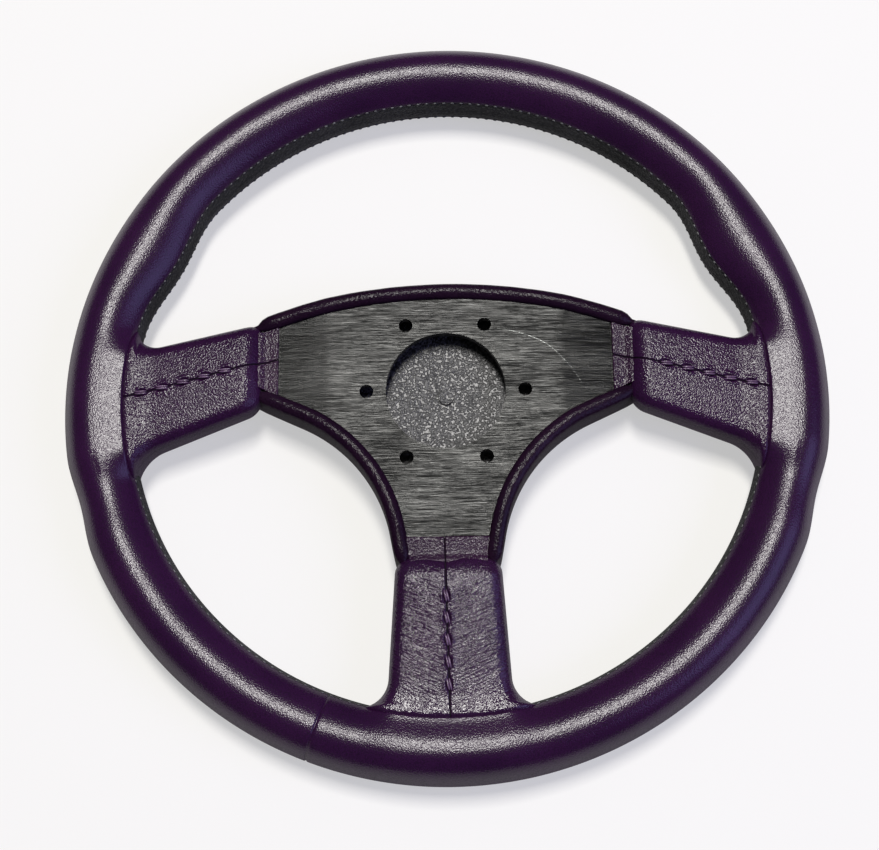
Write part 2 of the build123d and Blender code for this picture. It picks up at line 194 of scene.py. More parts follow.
pebbles.inputs["Smoothness"].default_value = 0.5
grain.links.new(warp.outputs[0], pebbles.inputs["Vector"])
grain.links.new(grain_in.outputs["Pebble Scale"], pebbles.inputs["Scale"])
pores = add_noise(grain, grain_in.outputs["Vector"], 2600, 3)
pebble_height = add_range(grain, pebbles.outputs["Distance"], 0.0, 0.75, 1.0, 0.0)
height = add_math(grain, "MULTIPLY_ADD", pores, 0.35)
grain.links.new(pebble_height, height.node.inputs[2])
grain.links.new(height, grain_out.inputs["Height"])
grain.links.new(add_noise(grain, grain_in.outputs["Vector"], 28, 4), grain_out.inputs["Dye"])
# Edges of the cells: the hollows that the finishes paint darker, as painted shade.
pit_shade = add_range(grain, pebbles.outputs["Distance"], 0.35, 0.8, 0.0, 1.0)
grain.links.new(pit_shade, grain_out.inputs["Pit Shade"])
print("group:", grain.name, len(grain.nodes), "nodes")

# %% [markdown]
# ## Leather
# The wheel is covered in a deep aubergine hide with a satin finish. The rim's hide is fine and stretched
# smooth; the spokes are cut from a coarser part, creased on the bottom spoke; the hub's rolled edge is a
# little redder and darker. A painted picture could show the grain, but a pattern made of nodes stays sharp
# from near and far. One function makes every hide and thread from the same group. The steep sides, where the
# hide is stretched, shine less. The hollows of the grain are painted darker as painted shade, and an
# attribute named slit paints the gap of a seam nearly black, as painted shade in the gap. The threads are
# painted lighter than their own dark colour, partly as painted highlight for their glints.


# %% Leather finishes
def object_vector(tree):
    """Object coordinates of the piece."""
    return tree.nodes.new("ShaderNodeTexCoord").outputs["Object"]


def new_material(name):
    """New node material, with its tree and its Principled shader."""
    material = bpy.data.materials.new(name)
    material.use_nodes = True
    tree = material.node_tree
    return material, tree, tree.nodes["Principled BSDF"]


def leather_finish(
    name, dark, light, pebble_scale, grain_depth, rough_low, rough_high, gloss=0.32, creases=None
):
    """Dyed leather: two tones of dye, painted shade in the grain's hollows and seam slits, pebbled bump and,
    where given, longer creases.
    """
    material, tree, shader = new_material(name)
    places = tree.nodes.new("ShaderNodeTexCoord")
    vector = places.outputs["Object"]
    facing = tree.nodes.new("ShaderNodeSeparateXYZ")
    tree.links.new(places.outputs["Normal"], facing.inputs[0])
    group = tree.nodes.new("ShaderNodeGroup")
    group.node_tree = grain
    tree.links.new(vector, group.inputs["Vector"])
    group.inputs["Pebble Scale"].default_value = pebble_scale
    dye = add_range(tree, group.outputs["Dye"], 0.35, 0.65, 0.0, 1.0)
    colour = add_mix(tree, dye, dark, light)
    # The hollows of the grain are darkened in the colour: painted shade.
    pit_shade = add_math(tree, "MULTIPLY", group.outputs["Pit Shade"], 0.55)
    colour = add_mix(tree, pit_shade, colour, tuple(part * 0.35 for part in dark))
    slit = tree.nodes.new("ShaderNodeAttribute")
    slit.attribute_name = "slit"
    # The seam's slit is painted nearly black: painted shade in the gap.
    colour = add_mix(tree, slit.outputs["Fac"], colour, (0.0006, 0.0003, 0.0008))
    tree.links.new(colour, shader.inputs["Base Color"])
    rough = add_range(tree, group.outputs["Height"], 0.2, 1.2, rough_high, rough_low)
    stretched_side = add_range(tree, facing.outputs["Z"], 0.1, 0.7, 0.5, 0.0)
    rough = add_math(tree, "ADD", rough, stretched_side)
    tree.links.new(add_math(tree, "MAXIMUM", rough, slit.outputs["Fac"]), shader.inputs["Roughness"])
    height = group.outputs["Height"]
    if creases:
        height = add_math(tree, "ADD", height, creases(tree, vector))
    height = add_math(tree, "MULTIPLY", height, add_math(tree, "SUBTRACT", 1.0, slit.outputs["Fac"]))
    bump = tree.nodes.new("ShaderNodeBump")
    bump.inputs["Strength"].default_value = 1.0
    bump.inputs["Distance"].default_value = grain_depth
    tree.links.new(height, bump.inputs["Height"])
    tree.links.new(bump.outputs["Normal"], shader.inputs["Normal"])
    shader.inputs["Specular IOR Level"].default_value = gloss
    return material


def chevron_creases(tree, vector):
    """Fine creases that run down from both sides to the seam of the bottom spoke."""
    split = tree.nodes.new("ShaderNodeSeparateXYZ")
    tree.links.new(vector, split.inputs[0])
    side = add_math(tree, "ABSOLUTE", split.outputs["X"], 0)
    lean = add_math(tree, "MULTIPLY", side, -0.45)
    level = add_math(tree, "ADD", split.outputs["Y"], lean)
    across = add_math(tree, "MULTIPLY", level, 780)
    along = add_math(tree, "MULTIPLY", split.outputs["X"], 120)
    join = tree.nodes.new("ShaderNodeCombineXYZ")
    tree.links.new(across, join.inputs[0])
    tree.links.new(along, join.inputs[1])
    folds = add_noise(tree, join.outputs[0], 1.0, 3)
    from_middle = add_math(tree, "ADD", split.outputs["Y"], spoke_middle)
    middle = add_math(tree, "ABSOLUTE", from_middle, 0)
    strength = add_range(tree, middle, 16 * mm, 34 * mm, 2.2, 0.3)
    return add_math(tree, "MULTIPLY", add_range(tree, folds, 0.35, 0.65, 0.0, 1.0), strength)


spoke_middle = 112 * mm
aubergine = ((0.021, 0.0030, 0.028), (0.029, 0.0052, 0.036))
wine = ((0.021, 0.0040, 0.023), (0.032, 0.0078, 0.033))
dark_wine = ((0.011, 0.0030, 0.012), (0.017, 0.0055, 0.018))
charcoal = ((0.004, 0.004, 0.005), (0.022, 0.021, 0.024))
# The lacing's own colour is dark grey; this lighter grey stands in for its glints: partly painted highlight.
grey_with_painted_glint = ((0.10, 0.10, 0.10), (0.20, 0.20, 0.20))
# The heavy thread's tone is lighter than its own, to stand in for its glints: partly painted highlight.
lilac_with_painted_glint = ((0.10, 0.05, 0.11), (0.17, 0.10, 0.18))
rim_hide = leather_finish("rim_hide", *aubergine, 1450, 0.06 * mm, 0.16, 0.28)
spoke_hide = leather_finish("spoke_hide", *aubergine, 1350, 0.14 * mm, 0.12, 0.25)
creased_hide = leather_finish(
    "creased_hide", *aubergine, 1350, 0.12 * mm, 0.12, 0.24, gloss=0.50, creases=chevron_creases
)
roll_hide = leather_finish("roll_hide", *dark_wine, 1200, 0.11 * mm, 0.15, 0.26, gloss=0.12)
tongue_hide = leather_finish("tongue_hide", *wine, 1300, 0.18 * mm, 0.13, 0.26)
band_hide = leather_finish("band_hide", *charcoal, 700, 0.30 * mm, 0.30, 0.45)
lacing_thread = leather_finish("lacing_thread", *grey_with_painted_glint, 1400, 0.04 * mm, 0.40, 0.50)
thread = leather_finish("thread", *lilac_with_painted_glint, 1400, 0.04 * mm, 0.18, 0.26, gloss=0.6)
leathers = (rim_hide, spoke_hide, creased_hide, roll_hide, tongue_hide, band_hide, lacing_thread, thread)
print("leathers:", [finish.name for finish in leathers])

# %% [markdown]
# ## Hard finishes
# The plate is black-anodised aluminium brushed from side to side. A picture of brushed metal could be laid
# on it, but a noise that is stretched along X never repeats; the same streaks drive colour, roughness and a
# very shallow bump. A line along a curve marks the long scratch. The horn disc is moulded plastic with a
# spark-eroded skin and faint turning rings round its centre.


# %% Brushed plate
def stretched(tree, vector, scale):
    """Vector scaled unevenly, so that a noise on it becomes streaks."""
    node = tree.nodes.new("ShaderNodeVectorMath")
    node.operation = "MULTIPLY"
    tree.links.new(vector, node.inputs[0])
    node.inputs[1].default_value = scale
    return node.outputs[0]


def line_mask(tree, vector, points, half_width):
    """Mask of a thin line that passes through the given points, listed from left to right."""
    split = tree.nodes.new("ShaderNodeSeparateXYZ")
    tree.links.new(vector, split.inputs[0])
    left, right = points[0][0], points[-1][0]
    along = add_range(tree, split.outputs["X"], left, right, 0.0, 1.0)
    curve = tree.nodes.new("ShaderNodeFloatCurve")
    tree.links.new(along, curve.inputs["Value"])
    low = min(y for x, y in points)
    high = max(y for x, y in points)
    line = curve.mapping.curves[0]
    places = [((x - left) / (right - left), (y - low) / (high - low)) for x, y in points]
    line.points[0].location, line.points[1].location = places[0], places[-1]
    for place in places[1:-1]:
        line.points.new(*place)
    curve.mapping.update()
    level = add_range(tree, curve.outputs["Value"], 0.0, 1.0, low, high)
    away = add_math(tree, "ABSOLUTE", add_math(tree, "SUBTRACT", split.outputs["Y"], level), 0)
    mask = add_range(tree, away, half_width * 0.4, half_width, 1.0, 0.0)
    inside = add_math(tree, "MULTIPLY", along, add_math(tree, "SUBTRACT", 1.0, along))
    return add_math(tree, "MULTIPLY", mask, add_range(tree, inside, 0.0, 0.02, 0.0, 1.0))


def brushed_finish(scratch_points):
    """Black anodised aluminium, brushed along X, with one long scratch through the given points."""
    material, tree, shader = new_material("brushed_black")
    vector = object_vector(tree)
    streaks = add_noise(tree, stretched(tree, vector, (50, 3800, 50)), 1.0, 4)
    patches = add_noise(tree, stretched(tree, vector, (14, 60, 14)), 1.0, 3)
    tone = add_math(tree, "MULTIPLY_ADD", patches, 0.35)
    tree.links.new(streaks, tone.node.inputs[2])
    level = add_range(tree, tone, 0.55, 0.79, 0.0, 1.0)
    colour = add_mix(tree, level, (0.002, 0.002, 0.002), (0.041, 0.0415, 0.0403))
    scratch = line_mask(tree, vector, scratch_points, 0.17 * mm)
    worn = add_math(tree, "MULTIPLY", scratch, add_range(tree, streaks, 0.35, 0.6, 0.05, 0.5))
    colour = add_mix(tree, worn, colour, (0.42, 0.44, 0.42))
    tree.links.new(colour, shader.inputs["Base Color"])
    tree.links.new(add_range(tree, streaks, 0.3, 0.7, 0.22, 0.30), shader.inputs["Roughness"])
    shader.inputs["Metallic"].default_value = 0.9
    shader.inputs["Specular IOR Level"].default_value = 0.25
    bump = tree.nodes.new("ShaderNodeBump")
    bump.inputs["Strength"].default_value = 1.0
    bump.inputs["Distance"].default_value = 0.14 * mm
    tree.links.new(streaks, bump.inputs["Height"])
    tree.links.new(bump.outputs["Normal"], shader.inputs["Normal"])
    return material


scratch_line = [(x * mm, y * mm) for x, y in ((24.5, 30.1), (44.6, 23.7), (53.7, 16.2), (63.9, 2.3))]
brushed_black = brushed_finish(scratch_line)
print("finish:", brushed_black.name, "scratch from", scratch_line[0], "to", scratch_line[-1])


# %% Plastic, steel, foam and brass
def moulded_finish(name, dark, light, spark_scale, depth, rings):
    """Moulded plastic with a spark-eroded skin and, where asked, faint rings round the axis."""
    material, tree, shader = new_material(name)
    vector = object_vector(tree)
    sparks = add_noise(tree, vector, spark_scale, 1)
    level = add_range(tree, sparks, 0.42, 0.60, 0.0, 1.0)
    if rings:
        wave = tree.nodes.new("ShaderNodeTexWave")
        wave.wave_type = "RINGS"
        wave.rings_direction = "Z"
        wave.inputs["Scale"].default_value = 34
        wave.inputs["Distortion"].default_value = 0.6
        tree.links.new(vector, wave.inputs["Vector"])
        level = add_math(tree, "MULTIPLY", level, add_range(tree, wave.outputs["Fac"], 0, 1, 0.75, 1.0))
    tree.links.new(add_mix(tree, level, dark, light), shader.inputs["Base Color"])
    tree.links.new(add_range(tree, sparks, 0.3, 0.7, 0.34, 0.50), shader.inputs["Roughness"])
    bump = tree.nodes.new("ShaderNodeBump")
    bump.inputs["Strength"].default_value = 0.8
    bump.inputs["Distance"].default_value = depth
    tree.links.new(level, bump.inputs["Height"])
    tree.links.new(bump.outputs["Normal"], shader.inputs["Normal"])
    return material


def metal_finish(name, dark, light, roughness):
    """Plain metal with a soft, uneven polish."""
    material, tree, shader = new_material(name)
    cloud = add_noise(tree, object_vector(tree), 180, 3)
    tree.links.new(add_mix(tree, cloud, dark, light), shader.inputs["Base Color"])
    rough = add_range(tree, cloud, 0.3, 0.7, roughness, roughness + 0.15)
    tree.links.new(rough, shader.inputs["Roughness"])
    shader.inputs["Metallic"].default_value = 1.0
    return material


disc_tones = ((0.003, 0.003, 0.004), (0.060, 0.060, 0.060))
cap_tones = ((0.016, 0.016, 0.017), (0.024, 0.024, 0.025))
foam_tones = ((0.006, 0.006, 0.006), (0.012, 0.012, 0.012))
disc_plastic = moulded_finish("disc_plastic", *disc_tones, 900, 0.28 * mm, True)
cap_plastic = moulded_finish("cap_plastic", *cap_tones, 1800, 0.06 * mm, False)
foam_skin = moulded_finish("foam_skin", *foam_tones, 400, 0.4 * mm, False)
zinc_steel = metal_finish("zinc_steel", (0.42, 0.42, 0.43), (0.56, 0.56, 0.56), 0.3)
turned_brass = metal_finish("turned_brass", (0.55, 0.36, 0.12), (0.72, 0.50, 0.20), 0.25)
hard_finishes = (disc_plastic, cap_plastic, foam_skin, zinc_steel, turned_brass)
print("hard finishes:", [finish.name for finish in hard_finishes])

# %% [markdown]
# ## Hard pieces
# These could be modelled again, but the CAD shapes are exact, so the nodes keep them. Their triangles are
# welded by a modifier, so that light can run smoothly over round faces, and a bevel softens the edge of the
# ring that a driver's hand meets. The mesh itself is never changed.

# %% Finish the CAD nodes
node_finish = {
    "spoke_plate": brushed_black,
    "rim_ring": zinc_steel,
    "ring_lug_left": zinc_steel,
    "ring_lug_right": zinc_steel,
    "ring_lug_bottom": zinc_steel,
    "arm_rivets": zinc_steel,
    "retainer_screws": zinc_steel,
    "hub_pad_core": foam_skin,
    "horn_retainer": cap_plastic,
    "contact_insulator": cap_plastic,
    "horn_disc": disc_plastic,
    "horn_cap": cap_plastic,
    "contact_ring": turned_brass,
    "horn_contacts": turned_brass,
}
ring_edge = 0.4 * mm
for name, finish in node_finish.items():
    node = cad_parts[name]
    node.data.materials.clear()
    node.data.materials.append(finish)
    node.data.shade_smooth()
    weld = node.modifiers.new("weld", "WELD")
    weld.merge_threshold = 0.005 * mm
    if name == "horn_retainer":
        bevel = node.modifiers.new("soft_edge", "BEVEL")
        bevel.width = ring_edge
        bevel.segments = 2
        bevel.limit_method = "ANGLE"
        bevel.angle_limit = radians(50)
    split = node.modifiers.new("crisp", "EDGE_SPLIT")
    split.split_angle = radians(35)
print("finished nodes:", len(node_finish))


# %% [markdown]
# ## Making a new piece
# Each new piece starts in a bmesh. It could be finished line by line each time, but a helper does it the
# same way for all: doubles are merged, normals point outwards and the mesh gets its finish. A piece of
# leather then rides on the wheel's body. Two more helpers sort the geometry that operators make and take.

# %% Piece helpers
def new_piece(bm, name, finish):
    """Object from a bmesh, with its finish in its material slot."""
    bmesh.ops.remove_doubles(bm, verts=bm.verts, dist=0.002 * mm)
    bmesh.ops.recalc_face_normals(bm, faces=bm.faces)
    mesh = bpy.data.meshes.new(name)
    bm.to_mesh(mesh)
    bm.free()
    mesh.materials.append(finish)
    mesh.shade_smooth()
    piece = bpy.data.objects.new(name, mesh)
    scene.collection.objects.link(piece)
    print(name, len(mesh.polygons), "faces")
    return piece


def leather_piece(bm, name, hide, stands_for=()):
    """Piece of leather that rides on the wheel in place of the CAD nodes named."""
    piece = new_piece(bm, name, hide)
    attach(piece, "wheel")
    if stands_for:
        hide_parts(*stands_for)
    return piece


def only(kind, geom):
    """Elements of one kind among the geometry that an operator made."""
    return [element for element in geom if isinstance(element, kind)]


def each_once(elements):
    """Elements in their first order, without repeats."""
    return list(dict.fromkeys(elements))


# %% [markdown]
# ## Rim
# The rim's hide is one long strip, sewn along the inside. A ready-made torus could give its round form, but
# it would have no seam. So the section is an arc that stops at both sides of the seam: the arc is made by
# spinning one vertex, and the rim by spinning the arc. Then the points move: inwards at the thumb grips, in
# at the palm notches, and into a saddle where a spoke arrives.

# %% Rim shape
thumb_swell = {1: 6.2 * mm, -1: 4.8 * mm}
thumb_angle, thumb_span = 28.0, 14.0
notch_depth = 2.1 * mm
notch_angle, notch_span = -16.5, 8.0
seam_half = radians(28)
join_radius = rim_radius - 14.6 * mm


def side_fall(run):
    """Share of the saddle's fall from the rim's crest towards a side spoke."""
    return run**1.3


side_saddle = {"half": 26.3 * mm, "level": 2.6 * mm, "fall": side_fall}
spokes = {
    "right": {"heading": 0.0, "centre": -3.75 * mm, **side_saddle},
    "left": {"heading": pi, "centre": 3.75 * mm, **side_saddle},
    "bottom": {"heading": -pi / 2, "centre": 0.0, "half": 28.6 * mm, "level": 1.0 * mm, "fall": ease},
}
saddle_front = -22.0 * mm
saddle_swell = 0.7 * mm
saddle_inside = 4 * mm
saddle_blend = 16 * mm
notch_slim = 0.07
section_lean = 0.10
lip_level = grip * sin(seam_half) + 0.1 * mm
lip_blend = 1.6 * mm
rim_steps = 420


def hump(angle, centre, span):
    """Smooth bump: 1 at the centre angle, 0 from one span away."""
    return (1 + cos(pi * min(abs(angle - centre) / span, 1.0))) / 2


def spoke_share(x, y):
    """How far a point of the rim lies in front of a spoke, from 0 to 1, and that spoke."""
    best, found = 0.0, None
    for spoke in spokes.values():
        along = x * cos(spoke["heading"]) + y * sin(spoke["heading"])
        across = -x * sin(spoke["heading"]) + y * cos(spoke["heading"]) - spoke["centre"]
        share = 1 - ease((abs(across) - spoke["half"] + saddle_inside) / saddle_blend)
        if along > 0 and share > best:
            best, found = share, spoke
    return best, found


def shape_rim(bm, saddles=True):
    """Move a round rim's points into thumb grips, palm notches and, where asked, spoke saddles."""
    for v in bm.verts:
        reach = hypot(v.co.x, v.co.y)
        out = Vector((v.co.x / reach, v.co.y / reach, 0))
        side = 1 if v.co.x > 0 else -1
        angle = degrees(atan2(v.co.y, abs(v.co.x)))
        notch = hump(angle, notch_angle, notch_span)
        inner = grip + thumb_swell[side] * hump(angle, thumb_angle, thumb_span)
        outer = grip - notch_depth * notch
        place = (outer - inner) / 2 + (outer + inner) / 2 * (reach - rim_radius) / grip
        height = (v.co.z - rim_z) * (1 - notch_slim * notch)
        if height > 0:
            height *= 1 + section_lean * place / grip * ease(height / grip)
        share, spoke = spoke_share(v.co.x, v.co.y) if saddles else (0.0, None)
        if share and height > 0:
            height += saddle_swell * share * ease(height / grip)
        if share and place < 0:
            run = min(-place / (rim_radius - join_radius), 1.0)
            level = spoke["level"] if height > 0 else saddle_front
            crest = rim_z + (grip + saddle_swell * share if height > 0 else -grip)
            fall = spoke["fall"](run) if height > 0 else run * run
            saddle = crest + (level - crest) * fall - rim_z
            fade = ease((abs(height) - lip_level) / lip_blend)
            height += (saddle - height) * share * fade
        v.co = out * (rim_radius + place) + Vector((0, 0, rim_z + height))


def spun_rim(first, span, radius, steps):
    """Bmesh of part of a round rim: an arc of its section, spun round the wheel's axis."""
    bm = bmesh.new()
    start = bm.verts.new((rim_radius + radius * cos(first), 0, rim_z + radius * sin(first)))
    centre = (rim_radius, 0, rim_z)
    bmesh.ops.spin(bm, geom=[start], cent=centre, axis=(0, -1, 0), angle=span, steps=steps)
    arc = bm.verts[:] + bm.edges[:]
    bmesh.ops.spin(
        bm, geom=arc, cent=(0, 0, 0), axis=(0, 0, 1), angle=2 * pi, steps=rim_steps, use_merge=True
    )
    return bm


print("saddles at", [f"{name} {degrees(spoke['heading']):.0f}" for name, spoke in spokes.items()])


# %% [markdown]
# The two ends of the strip meet at the lower left in a butt joint. A dark line in the finish could show it,
# but it would not catch the light, so fine rows are cut there with bisect_plane and pressed in. The strip's
# long edges are turned in by the thickness of the hide, which gives the inner seam its lips.

# %% Rim wrap
joint_heading = radians(-111.2)
joint_zone = 4 * mm
joint_rows = (-0.9 * mm, -0.35 * mm, 0.0, 0.35 * mm, 0.9 * mm)
joint_depth = 0.6 * mm
joint_width = 0.4 * mm


def near_joint(point, line, across):
    """True within a few millimetres of a radial joint line."""
    return point.dot(line) > 0 and abs(point.dot(across)) < joint_zone


def with_edges(faces):
    """Faces with all their edges and points, as bisect_plane wants them."""
    edges = each_once(e for f in faces for e in f.edges)
    return faces + edges + each_once(v for f in faces for v in f.verts)


def rim_middle(point):
    """Place on the rim's centre line that is nearest to a point."""
    return Vector((point.x, point.y, 0)).normalized() * rim_radius + Vector((0, 0, rim_z))


def press_joint(bm, heading):
    """Cut fine rows into the wrap along a radial line and press them in, as where two ends of hide meet."""
    line = Vector((cos(heading), sin(heading), 0))
    across = Vector((-line.y, line.x, 0))
    for offset in joint_rows:
        near = [f for f in bm.faces if near_joint(f.calc_center_median(), line, across)]
        spot = across * offset
        bmesh.ops.bisect_plane(bm, geom=with_edges(near), dist=0.01 * mm, plane_co=spot, plane_no=across)
    for v in bm.verts:
        if near_joint(v.co, line, across):
            depth = joint_depth * exp(-((v.co.dot(across) / joint_width) ** 2))
            v.co += (rim_middle(v.co) - v.co).normalized() * depth


bm = spun_rim(pi + seam_half, 2 * pi - 2 * seam_half, grip, 88)
shape_rim(bm)
press_joint(bm, joint_heading)
lips = [e for e in bm.edges if e.is_boundary]
made = bmesh.ops.extrude_edge_only(bm, edges=lips)["geom"]
for v in only(BMVert, made):
    v.co += (rim_middle(v.co) - v.co).normalized() * leather
rim_wrap = leather_piece(bm, "rim_wrap", rim_hide, ["rim_leather", "rim_core"])

# %% [markdown]
# Between the two edges of the wrap lies a strip of dark, matt leather. The wrap could simply be closed there
# and coloured, but a strip of its own lies a little lower, as the real one does, under the wrap's lips.

# %% Inner seam band
band_depth = 0.4 * mm
band_overlap = radians(2)
bm = spun_rim(pi - seam_half - band_overlap, 2 * (seam_half + band_overlap), grip - band_depth, 18)
shape_rim(bm, saddles=False)
leather_piece(bm, "seam_band", band_hide)

# %% [markdown]
# The wrap is laced to the band along both of its edges. An array modifier could repeat a stitch, but a spin
# that makes copies does it in one step: one stitch is a stretched sphere, the spin carries it all the way
# round, and the same move as for the rim fits the rows to the grips.

# %% Inner stitches
stitch_pitch = 4.2 * mm
lace = Vector((0.35 * mm, 0.9 * mm, 0.5 * mm))
bm = bmesh.new()
for edge in (pi - seam_half, pi + seam_half):
    spot = Vector((rim_radius + grip * cos(edge), 0, rim_z + grip * sin(edge)))
    stitch = bmesh.ops.create_uvsphere(bm, u_segments=6, v_segments=5, radius=1)["verts"]
    bmesh.ops.scale(bm, verts=stitch, vec=lace)
    bmesh.ops.translate(bm, verts=stitch, vec=spot)
count = round(2 * pi * rim_inner / stitch_pitch)
bmesh.ops.spin(
    bm, geom=bm.verts[:] + bm.edges[:] + bm.faces[:], cent=(0, 0, 0), axis=(0, 0, 1),
    angle=2 * pi * (count - 1) / count, steps=count - 1, use_duplicate=True,
)
shape_rim(bm, saddles=False)
leather_piece(bm, "rim_lacing", lacing_thread)

# %% [markdown]
# ## Spokes
# A spoke sleeve is a padded box with rounded edges that widens into the rim. It could be lofted through
# sections, but a bevelled cube has even faces for the seam to be cut in. The long edges and the hub end are
# bevelled, the faces are divided, and then the points move to the real outline. A band near each edge keeps
# its width, so the rounding stays round where the sleeve flares.

# %% Sleeve shape
sleeve_end = 153 * mm
sleeve_round = 6 * mm
flare_radius = 12 * mm
sleeve_rear = 4.5 * mm
sleeve_rise = 5.0 * mm
sleeve_front = -11 * mm
arm_middle = 3 * mm
outlines = {
    "side": {
        "root": hub_half_width,
        "high": (35 * mm, 22.5 * mm),
        "low": (-7.5 * mm, -30 * mm),
        "seam": ((87 * mm, 14.6 * mm), (150 * mm, -1.0 * mm)),
        "first_stitch": 103 * mm,
        "rim_lift": (1.9 * mm, 13 * mm),
        "puff": 0.8 * mm,
        "tongue": ((78.4 * mm, -0.6 * mm, 32.5 * mm), (88.6 * mm, 3.6 * mm, 29.4 * mm)),
    },
    "bottom": {
        "root": hub_foot,
        "high": (24 * mm, 28.6 * mm),
        "low": (-24 * mm, -28.6 * mm),
        "seam": ((70 * mm, -1.6 * mm), (150 * mm, -0.2 * mm)),
        "first_stitch": 97 * mm,
        "rim_lift": (0.9 * mm, 9 * mm),
        "puff": 2.6 * mm,
        "tongue": ((69.4 * mm, -19.4 * mm, 19.4 * mm), (81.6 * mm, -17.4 * mm, 17.4 * mm)),
    },
}


def flare(distance, tip):
    """How far a sleeve's edge has turned out at a distance from the axis, along a quarter circle."""
    meet = sqrt(rim_inner**2 - tip**2)
    run = min(max(distance - meet + flare_radius, 0.0), flare_radius)
    return flare_radius - sqrt(flare_radius**2 - run**2)


def sleeve_bounds(outline, distance):
    """Low edge, high edge, front and rear of a sleeve at a distance from the axis."""
    share = (distance - outline["root"]) / (rim_inner - outline["root"])
    edges = []
    for (start, tip), turn in ((outline["low"], -1), (outline["high"], 1)):
        edges.append(start + (tip - start) * min(share, 1.0) + turn * flare(distance, tip))
    rise = sleeve_rise * (distance - bend_distance) / (rim_inner - bend_distance)
    lift, length = outline["rim_lift"]
    rise += lift * ease((distance - join_radius + length) / length)
    return (*edges, arm_height(distance) + sleeve_front, arm_height(distance) + sleeve_rear + rise)


def fitted(value, half, low, high, margin):
    """Move a coordinate of the straight box to new limits, keeping a margin at each edge unstretched."""
    if value > half - margin:
        return high - (half - value)
    if value < margin - half:
        return low + (half + value)
    share = (value + half - margin) / (2 * (half - margin))
    return low + margin + share * (high - low - 2 * margin)


# %% Sleeve mesh
sleeve_width = 46 * mm
sleeve_depth = 16.5 * mm
side_band = 7 * mm
edge_band = 6.5 * mm
crown = 1.5 * mm
end_round = 9 * mm
puff_run = 6 * mm
tuck = 2.5 * mm
tuck_start = 0.7 * mm
tuck_run = 2 * mm


def edge_drop(inside, radius):
    """Fall of a rounded edge at a distance inside it."""
    rest = min(max(radius - inside, 0.0), radius)
    return radius - sqrt(radius**2 - rest**2)


def rim_level(distance):
    """Height that divides the rear of a sleeve from its front: the arm's middle, then the rim's."""
    share = ease((distance - rim_inner + 2 * flare_radius) / (2 * flare_radius))
    arm = arm_height(distance) - arm_middle
    return arm + (rim_z - arm) * share


def seam_line(outline, distance):
    """Where the seam runs across a sleeve at a distance from the axis."""
    (first, seam_start), (last, seam_stop) = outline["seam"]
    return seam_start + (seam_stop - seam_start) * (distance - first) / (last - first)


def sleeve_mesh(outline):
    """Bmesh of a sleeve that runs along +X, crowned, with edges that melt into the rim's rounding."""
    bm = bmesh.new()
    size = Vector((sleeve_end - outline["root"], sleeve_width, sleeve_depth))
    bmesh.ops.create_cube(bm, size=1)
    bmesh.ops.scale(bm, verts=bm.verts, vec=size)
    rim_face = max(bm.faces, key=lambda f: f.calc_center_median().x)
    edges = [e for e in bm.edges if e not in rim_face.edges[:]]
    bmesh.ops.delete(bm, geom=[rim_face], context="FACES_ONLY")
    bmesh.ops.bevel(
        bm, geom=edges, offset=sleeve_round, segments=6, profile=0.5, affect="EDGES", material=-1,
        offset_type="OFFSET",
    )
    for axis, cuts in ((0, 60), (1, 44), (2, 6)):
        least = size[axis] - 2.5 * sleeve_round
        long = [e for e in bm.edges if abs(e.verts[0].co[axis] - e.verts[1].co[axis]) > least]
        bmesh.ops.subdivide_edges(bm, edges=long, cuts=cuts, use_grid_fill=True)
    for v in bm.verts:
        distance = outline["root"] + size.x / 2 + v.co.x
        low, high, front, rear = sleeve_bounds(outline, distance)
        across = fitted(v.co.y, size.y / 2, low, high, side_band)
        height = fitted(v.co.z, size.z / 2, front, rear, edge_band)
        inside = min(across - low, high - across)
        face, turn = (rear, 1) if height > rim_level(distance) else (front, -1)
        depth = abs(face - rim_level(distance))
        melt = max(flare(distance, tip) for start, tip in (outline["low"], outline["high"])) / flare_radius
        radius = sleeve_round + (depth - sleeve_round) * melt
        fall = edge_drop(inside, radius) - edge_drop(inside, sleeve_round)
        side = min(abs(face - height), depth) / depth
        height -= turn * fall * (1 - side)
        bow = (across - (low + high) / 2) / ((high - low) / 2)
        height += turn * crown * (0.25 - bow * bow) * (1 - side) * (1 - melt)
        past_join = ease((hypot(distance, across) - join_radius - tuck_start) / tuck_run)
        end_inside = distance - outline["root"]
        end_fall = edge_drop(end_inside, end_round) - edge_drop(end_inside, sleeve_round)
        height -= ((tuck * past_join + end_fall) if turn > 0 else 0.0) * (1 - side)
        near_end = 1 - ease(end_inside / puff_run)
        puff = sin(pi * min(abs(across - seam_line(outline, distance)) / (high - low) * 2, 1.0))
        v.co = (distance - outline["puff"] * near_end * puff * (1 - side), across, height)
    return bm


for name, outline in outlines.items():
    print(name, "sleeve from", outline["root"], "to", sleeve_end)

# %% [markdown]
# Each sleeve is closed by a seam on its rear face, pulled together by five heavy stitches. A bump could draw
# the seam, but a real slit holds its shadow from every side. Fine rows are cut beside the seam line with
# bisect_plane; then the points are pressed into a slit that opens round each stitch, with raised lips, as
# leather puckers when thread pulls on it. How far each point lies in the slit is kept in an attribute, by
# which the finish also paints the gap nearly black: painted shade.

# %% Seams
stitch_gap = 9.8 * mm
stitch_count = 5
seam_rows = (-2.7, -2.0, -1.4, -0.9, -0.45, -0.2, 0.0, 0.2, 0.45, 0.9, 1.4, 2.0, 2.7)
seam_zone = 6 * mm
press_zone = 4 * mm
rear_facing = -0.2
slit_width = 0.25 * mm
slit_opening = 1.2 * mm
slit_depth = 0.8 * mm
slit_deepening = 0.4 * mm
lip_height = 0.35 * mm
lip_place = 2.2 * mm
lip_width = 0.7 * mm


